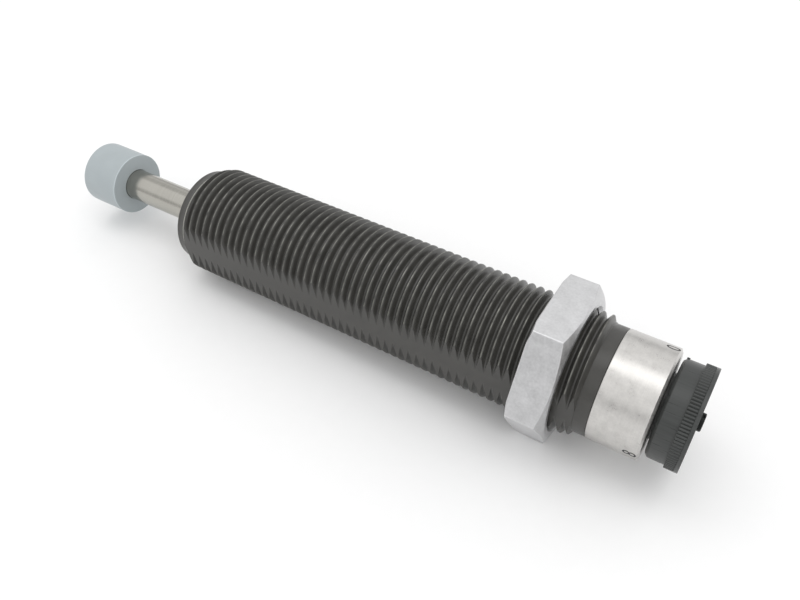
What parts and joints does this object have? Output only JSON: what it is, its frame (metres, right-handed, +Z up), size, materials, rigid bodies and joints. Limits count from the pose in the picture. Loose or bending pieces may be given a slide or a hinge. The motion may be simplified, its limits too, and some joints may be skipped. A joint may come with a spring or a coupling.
{
  "type": "industrial shock absorber",
  "caption": "Adjustable hydraulic shock absorber: threaded barrel with spanner flats, impact button on a sprung rod, lock nut, and a rear knob that sets the damping",
  "frame": {"origin": "centre of the barrel's front end face, on the cylinder's axis", "axes": "+X along the cylinder's axis from the impact button to the adjusting knob, +Z up, a flat of the lock nut facing down"},
  "size_m": [0.1227, 0.0278, 0.024],
  "materials": {
    "black_oxide_steel": "black oxide over turned steel, lightly oiled",
    "zinc_plated_steel": "bright zinc plating, satin",
    "ground_steel": "ground and polished",
    "nickel_plated_steel": "turned and plated, satin",
    "machined_steel": "turned",
    "spring_steel": "oil hardened",
    "bronze": "turned bearing bronze",
    "nitrile_rubber": "moulded",
    "closed_cell_foam": "closed-cell foam",
    "grey_nylon": "moulded nylon, satin",
    "black_acetal": "moulded, satin",
    "black_screw_steel": "black oxide"
  },
  "bodies": {
    "housing": {"barrel": "black_oxide_steel", "front_retaining_ring": "spring_steel", "rod_bearing": "bronze", "bearing_oring": "nitrile_rubber", "rod_wiper": "nitrile_rubber", "rod_seal": "nitrile_rubber", "foam_accumulator": "closed_cell_foam", "pressure_tube": "machined_steel", "tube_base": "machined_steel", "return_spring": "spring_steel", "adjuster_housing": "nickel_plated_steel", "housing_oring": "nitrile_rubber"},
    "rod": {"piston_rod": "ground_steel", "impact_button": "grey_nylon", "piston_head": "machined_steel", "piston_nut": "machined_steel"},
    "check_ring": {"piston_ring": "bronze"},
    "nut": {"lock_nut": "zinc_plated_steel"},
    "adjuster": {"adjuster_stem": "machined_steel", "stem_oring": "nitrile_rubber", "stem_clip": "spring_steel", "adjuster_knob": "black_acetal", "knob_screw": "black_screw_steel"},
    "needle": {"metering_needle": "machined_steel"}
  },
  "joints": [
    {"name": "rod_stroke", "type": "slide", "parent": "housing", "child": "rod", "axis": [1, 0, 0], "range_m": [0, 0.019], "stiffness_N_per_m": 850, "springref_m": -0.014, "deforming": ["return_spring"]},
    {"name": "check_ring_float", "type": "slide", "parent": "rod", "child": "check_ring", "axis": [1, 0, 0], "range_m": [0, 0.0004]},
    {"name": "nut_travel", "type": "slide", "parent": "housing", "child": "nut", "axis": [1, 0, 0], "range_m": [-0.06725, 0.0025]},
    {"name": "adjuster_turn", "type": "hinge", "parent": "housing", "child": "adjuster", "pos_m": [0.08895, 0, 0], "axis": [-1, 0, 0], "range_deg": [-13, 212]},
    {"name": "needle_feed", "type": "slide", "parent": "housing", "child": "needle", "axis": [-1, 0, 0], "range_m": [-0.00001635, 0.0002651]}
  ],
  "couplings": [
    {"joint": "needle_feed", "follows": "adjuster_turn", "m_per_rad": 0.00007162}
  ]
}
